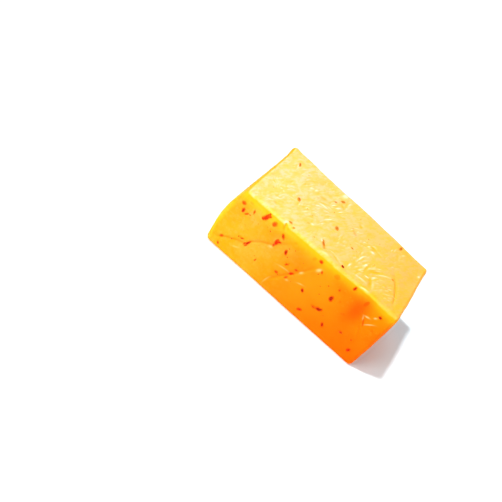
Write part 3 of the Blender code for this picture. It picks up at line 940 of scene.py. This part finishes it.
# Flakes just under the surface: tint, face, along, up or across, length, width, turn, strength
SUNK_FLAKES = (
    ("stain", "front", 0.0082, 0.0253, 0.0028, 0.0025, 0, 0.45),
    ("warm", "front", -0.0304, 0.0243, 0.0014, 0.0010, 0, 0.25),
    ("warm", "front", -0.0259, 0.0107, 0.0010, 0.0007, 0, 0.5),
    ("stain", "front", -0.0017, 0.0247, 0.0020, 0.0012, 60, 0.3),
    ("stain", "front", 0.0099, 0.0091, 0.0020, 0.0015, 0, 0.7),
    ("stain", "front", 0.0219, 0.0247, 0.0036, 0.0014, 84, 0.9),
    ("stain", "front", 0.0152, 0.0183, 0.0012, 0.0009, 90, 0.3),
    ("stain", "front", 0.0191, 0.0150, 0.0020, 0.0012, 20, 0.4),
    ("stain", "front", 0.0255, 0.0180, 0.0036, 0.0008, -62, 1.0),
    ("stain", "front", 0.0302, 0.0183, 0.0012, 0.0010, 0, 0.4),
    ("warm", "front", -0.0100, 0.0242, 0.0012, 0.0008, 40, 0.25),
    ("warm", "top", 0.0033, 0.0037, 0.0036, 0.0015, -42, 0.45),
    ("warm", "top", 0.0237, -0.0100, 0.0014, 0.0016, 0, 0.35),
    ("warm", "top", -0.0116, -0.0115, 0.0012, 0.0012, 0, 0.35),
    ("warm", "top", -0.0250, -0.0155, 0.0012, 0.0010, 0, 0.35),
    ("warm", "top", -0.0021, -0.0167, 0.0020, 0.0012, -60, 0.8),
    ("warm", "top", -0.0150, 0.0048, 0.0012, 0.0008, 30, 0.3),
    ("warm", "top", -0.0327, -0.0030, 0.0014, 0.0012, 0, 0.2),
)


def halo(points, frame_matrix, length, width, reach):
    """1 on the flake's outline and inside it, fading out over the reach beyond."""
    inverse = np.array(frame_matrix.inverted())
    local = points @ inverse[:3, :3].T + inverse[:3, 3]
    across = np.hypot(local[:, 0] / (length / 2), local[:, 1] / (width / 2))
    beyond = np.maximum(across - 1, 0) * (length + width) / 4
    return bump(np.hypot(beyond, local[:, 2]), reach)


points = read_points(body_mesh)
normals = read_normals(body_mesh)
masks = {"stain": np.zeros(len(points)), "warm": np.zeros(len(points))}
for kind, frame_matrix, length, width, _ in flakes + specks[:len(SMALL_FLAKES)]:
    tint = "warm" if kind == "brown" else "stain"
    mark = halo(points, frame_matrix, length * HALO_SHARE, width * HALO_SHARE, HALO_REACH)
    masks[tint] = np.maximum(masks[tint], mark)
for tint, face, along, other, length, width, degrees, strength in SUNK_FLAKES:
    lying = lying_frame(seen_place(face, along, other), math.radians(degrees))
    mark = strength * halo(points, lying, length * SUNK_SHARE, width * SUNK_SHARE, HALO_REACH)
    masks[tint] = np.maximum(masks[tint], mark)
print("stained share:", round(float((masks["stain"] > 0.3).mean()), 3))

# %% Seams and the crack
# The crack's core is painted dark: painted shade in the crack
CRACK_SHADE = 0.9
CRACK_CORE = 0.6

seam = np.zeros(len(points))
for face, column, paths in (("front", 2, FRONT_SEAMS), ("back", 2, BACK_SEAMS), ("top", 1, TOP_CREASES)):
    for path in paths:
        nearest, _ = path_distance(points[:, 0], points[:, column], path)
        mark = bump(nearest, SEAM_HALF_WIDTH) * end_fade(points[:, 0], points[:, column], path)
        seam = np.maximum(seam, facing(normals, face) * mark)
masks["seam"] = np.maximum(seam, bump(crack_distance(points), CRACK_HALF_WIDTH))
crack_shade = bump(crack_distance(points), CRACK_HALF_WIDTH * CRACK_CORE)
masks["warm"] = np.maximum(masks["warm"], CRACK_SHADE * crack_shade)
print("share in a seam:", round(float((masks["seam"] > 0.3).mean()), 3))

# %% Yellow bands of the top
# Deeper yellow bands on the top. Each band: along, across, half its length and width, lean, strength
YOLK_BANDS = (
    (-0.0014, -0.0085, 0.0016, 0.0010, 80, 0.5),
    (0.0028, -0.0112, 0.0024, 0.0010, 85, 0.5),
    (0.0295, 0.0065, 0.0050, 0.0011, 85, 0.8),
    (0.0308, -0.0120, 0.0060, 0.0012, 88, 0.7),
    (0.0085, 0.0110, 0.0030, 0.0012, 40, 0.4),
    (-0.0170, 0.0145, 0.0040, 0.0012, 70, 0.35),
    (-0.0123, -0.0062, 0.0024, 0.0006, 80, 0.5),
    (-0.0060, 0.0120, 0.0020, 0.0012, 30, 0.7),
    (-0.0135, 0.0073, 0.0022, 0.0011, 10, 0.6),
    (0.0035, 0.0108, 0.0018, 0.0009, -30, 0.6),
    (0.0140, 0.0045, 0.0030, 0.0010, -25, 0.5),
    (0.0180, -0.0070, 0.0036, 0.0010, 48, 0.6),
    (-0.0300, 0.0200, 0.0040, 0.0012, 0, 0.35),
    (-0.0210, 0.0080, 0.0024, 0.0007, 75, 0.5),
    (0.0020, 0.0160, 0.0050, 0.0014, 20, 0.3),
)
masks["yolk"] = np.zeros(len(points))
for along, across, half_length, half_width, degrees, strength in YOLK_BANDS:
    lengthwise, sideways = leaning(points[:, 0] - along, points[:, 1] - across, degrees)
    mark = strength * bump(np.hypot(lengthwise / half_length, sideways / half_width), 1.0)
    masks["yolk"] = np.maximum(masks["yolk"], mark)
print("bands:", len(YOLK_BANDS))

# %% Film, edges and folds
LIT_EDGE_REACH = 0.0034
BELLY_START = -0.0342
BELLY_FADE = 0.0012
BELLY_LIGHT_SHARE = 0.6
FILM_ENDS = 0.72
FILM_SLIP = 0.22
FILM_FADE = 0.14
HOLLOW_SHADE_SPREAD = 1.2

# Up-facing skin takes the top's pale colour, which is partly a painted sheen
film_ends = FILM_ENDS - FILM_SLIP * (0.5 + points[:, 0] / LENGTH)
masks["film"] = np.clip((normals[:, 2] - film_ends) / FILM_FADE, 0, 1)
# The rim mask is a painted band of light: lighter yellow along the top edges and on the left end's bulge
block_top = HEIGHT * (1 + RISE * points[:, 0] / (LENGTH / 2))
belly_light = BELLY_LIGHT_SHARE * np.clip((BELLY_START - points[:, 0]) / BELLY_FADE, 0, 1)
masks["rim"] = np.maximum(bump(block_top - points[:, 2], LIT_EDGE_REACH), belly_light)
# Painted shade: the hollow in the front is painted a deeper orange-red
masks["hollow"] = facing(normals, "front") * bump(hollow_distance(points), HOLLOW_SHADE_SPREAD)
fold = folds(points, normals)
# Ridges and streaks are painted paler: painted highlights
masks["pale"] = np.clip(fold, 0, 1)
# Troughs beside the wrinkles are painted deeper yellow: painted shade
masks["deep"] = np.clip(-fold, 0, 1)
for name, values in masks.items():
    layer = body_mesh.attributes.new(name, "FLOAT", "POINT")
    layer.data.foreach_set("value", values.astype(np.float32))
write_points(body_mesh, points + np.array(to_frame))
print("masks:", list(masks))

# %% [markdown]
# ## Shader sums
#
# Materials here are written as sums. A small class wraps an output socket and adds a Math node for
# every operator, so that a mask reads like arithmetic, and one method makes any other node.

# %% Shader helper
class Wire:
    """One output socket of a material, with the operators that the sums below use."""

    def __init__(self, recipe, socket):
        self.recipe = recipe
        self.socket = socket

    def __add__(self, other):
        return self.recipe.sum("ADD", self, other)

    def __sub__(self, other):
        return self.recipe.sum("SUBTRACT", self, other)

    def __rsub__(self, other):
        return self.recipe.sum("SUBTRACT", other, self)

    def __mul__(self, other):
        return self.recipe.sum("MULTIPLY", self, other)

    __radd__ = __add__
    __rmul__ = __mul__

    def clamped(self):
        return self.recipe.node("ShaderNodeClamp", {}, {"Value": self})


class Recipe:
    """The node tree of one material."""

    def __init__(self, name):
        self.material = bpy.data.materials.new(name)
        self.material.use_nodes = True
        self.tree = self.material.node_tree
        self.shader = self.tree.nodes["Principled BSDF"]

    def fill(self, node, sockets):
        for key, value in sockets.items():
            if isinstance(value, Wire):
                self.tree.links.new(value.socket, node.inputs[key])
            else:
                node.inputs[key].default_value = value

    def node(self, kind, settings, sockets, output=0):
        """Any node: its type, its settings, the values or links of its sockets, and the output wanted."""
        node = self.tree.nodes.new(kind)
        for key, value in settings.items():
            setattr(node, key, value)
        self.fill(node, sockets)
        return Wire(self, node.outputs[output])

    def sum(self, operation, first, second):
        return self.node("ShaderNodeMath", {"operation": operation}, {0: first, 1: second})

    def mix(self, factor, first, second):
        """A blend of two colours."""
        return self.node("ShaderNodeMix", {"data_type": "RGBA"}, {0: factor, 6: first, 7: second}, output=2)

    def attribute(self, name):
        return self.node("ShaderNodeAttribute", {"attribute_name": name}, {}, output="Fac")

    def noise(self, place, scale, detail):
        return self.node("ShaderNodeTexNoise", {"noise_dimensions": "3D"},
                         {"Vector": place, "Scale": scale, "Detail": detail})

    def ramp(self, factor, low, high):
        """A wire taken from 0 to 1 as the factor goes from low to high."""
        return self.node("ShaderNodeMapRange", {"interpolation_type": "SMOOTHSTEP"},
                         {"Value": factor, "From Min": low, "From Max": high})


print("shader helper ready")

# %% [markdown]
# ## Cheddar
#
# Orange cheddar is coloured with annatto, a deep yellow that turns orange where light has gone further
# through it. A flat colour would look like plastic, so the colour drifts slowly. The cut faces are also
# painted lighter at the left and deeper at the right, a painted falloff of light, and a paler haze over
# their left is a painted sheen. The top is paler still, partly where fat was drawn out under the wrapping
# and partly as a painted sheen, whiter at the left. Both colours are built as layers: a base, then one
# mask after the other, each with its strength and tint. Subsurface scattering and a painted band of light
# give the glowing edges; the hollow, the crack, the lower right and the troughs by the wrinkles get painted
# shade; and a moist, uneven gloss and painted highlights catch on every wrinkle.

# %% Cheddar colours
# Cut faces: lighter at the left, deeper orange at the right, a painted falloff of light
LEFT_LIGHT_LIT = (0.965, 0.335, 0.024, 1)
LEFT_DEEP_LIT = (0.955, 0.280, 0.010, 1)
LOW_LEFT = (0.965, 0.42, 0.016, 1)
RIGHT_LIGHT_SHADED = (0.93, 0.235, 0.001, 1)
RIGHT_DEEP_SHADED = (0.91, 0.175, 0.0005, 1)
# Deeper orange low down at the right: painted shade
LOW_RIGHT_SHADE = (0.92, 0.160, 0.0005, 1)
# A paler haze over the left of the cut faces: a painted sheen
SHEEN_HAZE = (0.96, 0.355, 0.085, 1)
DULL = (0.88, 0.26, 0.020, 1)
# The top: pale, partly its own colour and partly a painted sheen, whiter at the left as a painted falloff
FILM_LEFT_LIT_SHEEN = (0.98, 0.66, 0.33, 1)
FILM_RIGHT_SHADED = (0.97, 0.495, 0.112, 1)
FILM_DEEP = (0.98, 0.49, 0.014, 1)
MOTTLE_LEFT_LIT = (0.98, 0.57, 0.045, 1)
MOTTLE_RIGHT_SHADED = (0.98, 0.50, 0.025, 1)

# Each layer: mask, strength, tint, the later ones over the earlier ones
CUT_LAYERS = (
    # rim: painted light, a lighter yellow band along the top edges and the left bulge
    ("rim", 0.80, (0.98, 0.45, 0.014, 1)),
    # hollow: painted shade, deeper orange-red in the hollow
    ("hollow", 0.75, (0.66, 0.10, 0.001, 1)),
    ("seam", 0.45, (0.86, 0.22, 0.002, 1)),
    # pale: painted highlights on the streaks
    ("pale", 0.80, (0.98, 0.57, 0.30, 1)),
    ("warm", 0.85, (0.48, 0.13, 0.002, 1)),
    ("stain", 0.75, (0.80, 0.10, 0.001, 1)),
)
FILM_LAYERS = (
    ("yolk", 0.80, FILM_DEEP),
    # seam and deep: creases and troughs of the top painted deeper yellow, a painted shade
    ("seam", 0.70, FILM_DEEP),
    ("deep", 1.00, FILM_DEEP),
    # pale: painted highlights on the ridges and streaks
    ("pale", 0.85, (0.99, 0.88, 0.66, 1)),
    ("warm", 0.80, (0.68, 0.30, 0.030, 1)),
)

# %% Cheddar patterns
# Noise scales: about how many features lie along a metre
DRIFT_SCALE = 60
FINE_DRIFT_SCALE = 420
SHEEN_HAZE_SCALE = 160
FINE_SHEEN_HAZE_SCALE = 700
DULL_SCALE = 1100
BLOTCH_SCALE = 330
MOTTLE_SCALE = 900
GRAIN_SCALE = 1800
SOFT_SCALE = 500
FINE_SHEEN_HAZE_SHARE = 0.6
SHEEN_HAZE_SHARE = 0.70
SHEEN_HAZE_FADE = 1.8
DULL_SHARE = 0.5
LOW_RIGHT_SHADE_SHARE = 0.8
LOW_LEFT_SHARE = 0.4
LOW_LEFT_FADE = 1.6
BLOTCH_SHARE = 0.6
MOTTLE_SHARE = 0.5
# Where the painted falloff of light runs along the block, and where the colour changes up it
FALLOFF_SPAN = (-0.038, 0.036)
FLOOR_SPAN = (0.003, 0.021)
# The film pulled the top's marks out along this direction
PULL_TURN = math.radians(62)
PULL_SCALE = (2.0, 1.0, 1.0)
ROUGHNESS = 0.48
FILM_GLOSS = 0.10
SEAM_GLOSS = 0.14
PALE_GLOSS = 0.16
ROUGHNESS_DRIFT = 0.12
FILM_COAT = 0.25
PALE_COAT = 0.6


# %% Cheddar material
def layered(recipe, colour, layers, masks):
    for name, strength, tint in layers:
        colour = recipe.mix(masks[name] * strength, colour, tint)
    return colour


def cut_colour(recipe, place, painted_falloff, masks):
    """Cut faces: a painted falloff of light to the right, a painted sheen, dull spots and a change near the
    floor.
    """
    patchy = recipe.ramp(recipe.noise(place, DRIFT_SCALE, 4), 0.35, 0.65)
    # Painted falloff of light: lighter at the left, deeper orange at the right
    colour = recipe.mix(painted_falloff, recipe.mix(patchy, LEFT_DEEP_LIT, LEFT_LIGHT_LIT),
                        recipe.mix(patchy, RIGHT_DEEP_SHADED, RIGHT_LIGHT_SHADED))
    # Painted sheen: a paler haze over the left, fading out towards the right
    sheen_haze = recipe.ramp(recipe.noise(place, SHEEN_HAZE_SCALE, 3), 0.42, 0.68)
    sheen_haze = sheen_haze + FINE_SHEEN_HAZE_SHARE * recipe.ramp(recipe.noise(place, FINE_SHEEN_HAZE_SCALE, 3), 0.45, 0.65)
    sheen_haze = (sheen_haze * (1 - SHEEN_HAZE_FADE * painted_falloff).clamped() * SHEEN_HAZE_SHARE).clamped()
    colour = recipe.mix(sheen_haze, colour, SHEEN_HAZE)
    dull = recipe.ramp(recipe.noise(place, DULL_SCALE, 3), 0.54, 0.70)
    colour = recipe.mix(dull * DULL_SHARE, colour, DULL)
    up = recipe.node("ShaderNodeSeparateXYZ", {}, {0: place}, output="Z")
    towards_floor = 1 - recipe.ramp(up, *FLOOR_SPAN)
    # Painted shade: deeper orange towards the floor at the right
    low_right_shade = towards_floor * painted_falloff * painted_falloff * LOW_RIGHT_SHADE_SHARE
    colour = recipe.mix(low_right_shade, colour, LOW_RIGHT_SHADE)
    low_left = towards_floor * (1 - LOW_LEFT_FADE * painted_falloff).clamped() * LOW_LEFT_SHARE
    colour = recipe.mix(low_left, colour, LOW_LEFT)
    return layered(recipe, colour, CUT_LAYERS, masks)


def wrapped_colour(recipe, place, painted_falloff, masks):
    """The top under the film: pale, partly painted sheen, with blotches and a mottle pulled out one way."""
    pulled = recipe.node("ShaderNodeMapping", {"vector_type": "TEXTURE"},
                         {"Vector": place, "Rotation": (0, 0, PULL_TURN), "Scale": PULL_SCALE})
    # Whiter at the left, deeper at the right: painted sheen and painted falloff of light
    colour = recipe.mix(painted_falloff, FILM_LEFT_LIT_SHEEN, FILM_RIGHT_SHADED)
    tint = recipe.mix(painted_falloff, MOTTLE_LEFT_LIT, MOTTLE_RIGHT_SHADED)
    mottle = recipe.ramp(recipe.noise(pulled, MOTTLE_SCALE, 3), 0.46, 0.62)
    colour = recipe.mix(mottle * MOTTLE_SHARE, colour, tint)
    blotchy = recipe.ramp(recipe.noise(pulled, BLOTCH_SCALE, 4), 0.42, 0.62)
    colour = recipe.mix(blotchy * BLOTCH_SHARE, colour, tint)
    return layered(recipe, colour, FILM_LAYERS, masks)


def cheddar(mask_names):
    recipe = Recipe("cheddar")
    place = recipe.node("ShaderNodeTexCoord", {}, {}, output="Object")
    along = recipe.node("ShaderNodeSeparateXYZ", {}, {0: place}, output="X")
    painted_falloff = recipe.ramp(along, *FALLOFF_SPAN)
    masks = {name: recipe.attribute(name) for name in mask_names}
    cut = cut_colour(recipe, place, painted_falloff, masks)
    wrapped = wrapped_colour(recipe, place, painted_falloff, masks)

    film, pale = masks["film"], masks["pale"]
    fine_drift = recipe.noise(place, FINE_DRIFT_SCALE, 4)
    gloss = ROUGHNESS - FILM_GLOSS * film - SEAM_GLOSS * masks["seam"] - PALE_GLOSS * pale
    grain = recipe.noise(place, GRAIN_SCALE, 3)
    soft = recipe.noise(place, SOFT_SCALE, 2)
    surface = recipe.node("ShaderNodeBump", {}, {"Height": grain, "Strength": 0.10, "Distance": 0.0002})
    surface = recipe.node("ShaderNodeBump", {},
                          {"Height": soft, "Strength": 0.20, "Distance": 0.0003, "Normal": surface})
    recipe.fill(recipe.shader, {
        "Base Color": recipe.mix(film, cut, wrapped),
        "Roughness": gloss + ROUGHNESS_DRIFT * (fine_drift - 0.5),
        "Normal": surface,
        "IOR": 1.46,
        "Specular IOR Level": 0.08,
        "Coat Weight": (film * FILM_COAT + pale * PALE_COAT).clamped(),
        "Coat Roughness": 0.28,
        "Subsurface Weight": 0.4,
        "Subsurface Radius": (1.0, 0.45, 0.12),
        "Subsurface Scale": 0.0014,
    })
    return recipe.material


body.data.materials.append(cheddar(masks))
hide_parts("cheddar_block")
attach(body, "root")
print("cheddar on:", body.name)

# %% [markdown]
# ## Chilli
#
# The flakes are dried skin and flesh, soaked with oil from the cheese: bright red where the flesh is
# thick, a deeper red where skin lies double, softer or brown under a smear of cheese. Each flake has a
# shade of its own, stored as an attribute when it was made, so that one material serves all flakes of a
# kind.

# %% Chilli materials
TONE_SHARE = 0.35
MOTTLE_WEIGHT = 0.65
THIN_SHARE = 0.75
MOTTLE_ROUGHNESS = 0.15
CHILLI_MOTTLE_SCALE = 1400
CHILLI_CREASE_SCALE = 3200
# Each kind: slot, roughness, then its dull, bright and thin colour
CHILLI_KINDS = {
    "red": ("chilli_red", 0.42,
            (0.44, 0.018, 0.0004, 1), (0.74, 0.050, 0.0006, 1), (0.84, 0.15, 0.001, 1)),
    "dark": ("chilli_dark", 0.42,
             (0.28, 0.018, 0.0004, 1), (0.52, 0.040, 0.0006, 1), (0.76, 0.15, 0.001, 1)),
    "brown": ("chilli_dark", 0.46,
              (0.60, 0.16, 0.010, 1), (0.78, 0.27, 0.015, 1), (0.90, 0.42, 0.040, 1)),
    "rust": ("chilli_dark", 0.44,
             (0.38, 0.042, 0.0006, 1), (0.60, 0.085, 0.001, 1), (0.82, 0.21, 0.002, 1)),
    "soft": ("chilli_red", 0.44,
             (0.66, 0.060, 0.001, 1), (0.80, 0.11, 0.002, 1), (0.90, 0.24, 0.003, 1)),
}


def chilli(name, roughness, dull, bright, thin):
    recipe = Recipe(name)
    place = recipe.node("ShaderNodeTexCoord", {}, {}, output="Object")
    mottle = recipe.ramp(recipe.noise(place, CHILLI_MOTTLE_SCALE, 3), 0.35, 0.65)
    shade = (TONE_SHARE * recipe.attribute("tone") + MOTTLE_WEIGHT * mottle).clamped()
    at_rim = recipe.ramp(recipe.attribute("rim"), 0.55, 1.0)
    creases = recipe.noise(place, CHILLI_CREASE_SCALE, 2)
    surface = recipe.node("ShaderNodeBump", {}, {"Height": creases, "Strength": 0.3, "Distance": 0.0002})
    recipe.fill(recipe.shader, {
        "Base Color": recipe.mix(at_rim * THIN_SHARE, recipe.mix(shade, dull, bright), thin),
        "Roughness": roughness + MOTTLE_ROUGHNESS * mottle,
        "Normal": surface,
        "Specular IOR Level": 0.15,
        "Coat Weight": 0.06,
        "Coat Roughness": 0.2,
        "Subsurface Weight": 0.3,
        "Subsurface Radius": (1.0, 0.2, 0.05),
        "Subsurface Scale": 0.0006,
    })
    return recipe.material


for kind, (kind_slot, roughness, *colours) in CHILLI_KINDS.items():
    chips[kind].data.materials.append(chilli("chilli_" + kind, roughness, *colours))
    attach(chips[kind], "root")
print("chilli materials:", list(CHILLI_KINDS))

# %% [markdown]
# ## Floor and light
#
# The picture was taken on a white sweep that is bright enough to lose its edges. A large pale floor
# does the same. A sun gives the soft-edged shadow, a small lamp in front of the left end makes the light
# fall off towards the right, a card on the right lifts that end a little, and a wide panel behind the
# block gives the top its whitish sheen.

# %% Floor, lights and background
FLOOR_SIZE = 12.0
FLOOR_COLOUR = (0.83, 0.93, 0.975, 1)
FLOOR_ROUGHNESS = 0.8
SUN_DIRECTION = (-0.50, -0.25, 1.0)
SUN_STRENGTH = 1.35
SUN_ANGLE = math.radians(4)
BACKGROUND_STRENGTH = 0.27


def add_floor():
    bm = bmesh.new()
    bmesh.ops.create_grid(bm, x_segments=1, y_segments=1, size=FLOOR_SIZE)
    floor = add_object("floor", mesh_from(bm, "floor"))
    recipe = Recipe("floor")
    recipe.fill(recipe.shader, {"Base Color": FLOOR_COLOUR, "Roughness": FLOOR_ROUGHNESS})
    floor.data.materials.append(recipe.material)


def add_panel(name, place, target, size, power):
    data = bpy.data.lights.new(name, "AREA")
    data.shape = "RECTANGLE"
    data.size, data.size_y = size
    data.energy = power
    light = add_object(name, data)
    light.location = place
    light.rotation_euler = (Vector(target) - Vector(place)).to_track_quat("-Z", "Y").to_euler()
    light.visible_camera = False


def add_sun():
    data = bpy.data.lights.new("sun", "SUN")
    data.energy = SUN_STRENGTH
    data.angle = SUN_ANGLE
    add_object("sun", data).rotation_euler = Vector(SUN_DIRECTION).to_track_quat("Z", "Y").to_euler()


def add_background():
    world = bpy.data.worlds.new("studio")
    world.use_nodes = True
    background = world.node_tree.nodes["Background"]
    background.inputs["Color"].default_value = (1, 1, 1, 1)
    background.inputs["Strength"].default_value = BACKGROUND_STRENGTH
    bpy.context.scene.world = world


add_floor()
add_sun()
add_panel("front_lamp", (-0.10, -0.20, 0.07), target=(-0.01, -0.02, 0.014), size=(0.10, 0.10), power=0.27)
add_panel("back_panel", (-0.10, 0.45, 0.31), target=(0, 0, 0.014), size=(0.45, 0.25), power=0.65)
add_panel("right_card", (0.30, -0.12, 0.10), target=(0.03, 0.0, 0.01), size=(0.25, 0.20), power=0.27)
add_background()
view_settings = bpy.context.scene.view_settings
view_settings.view_transform = "Standard"
view_settings.look = "High Contrast"
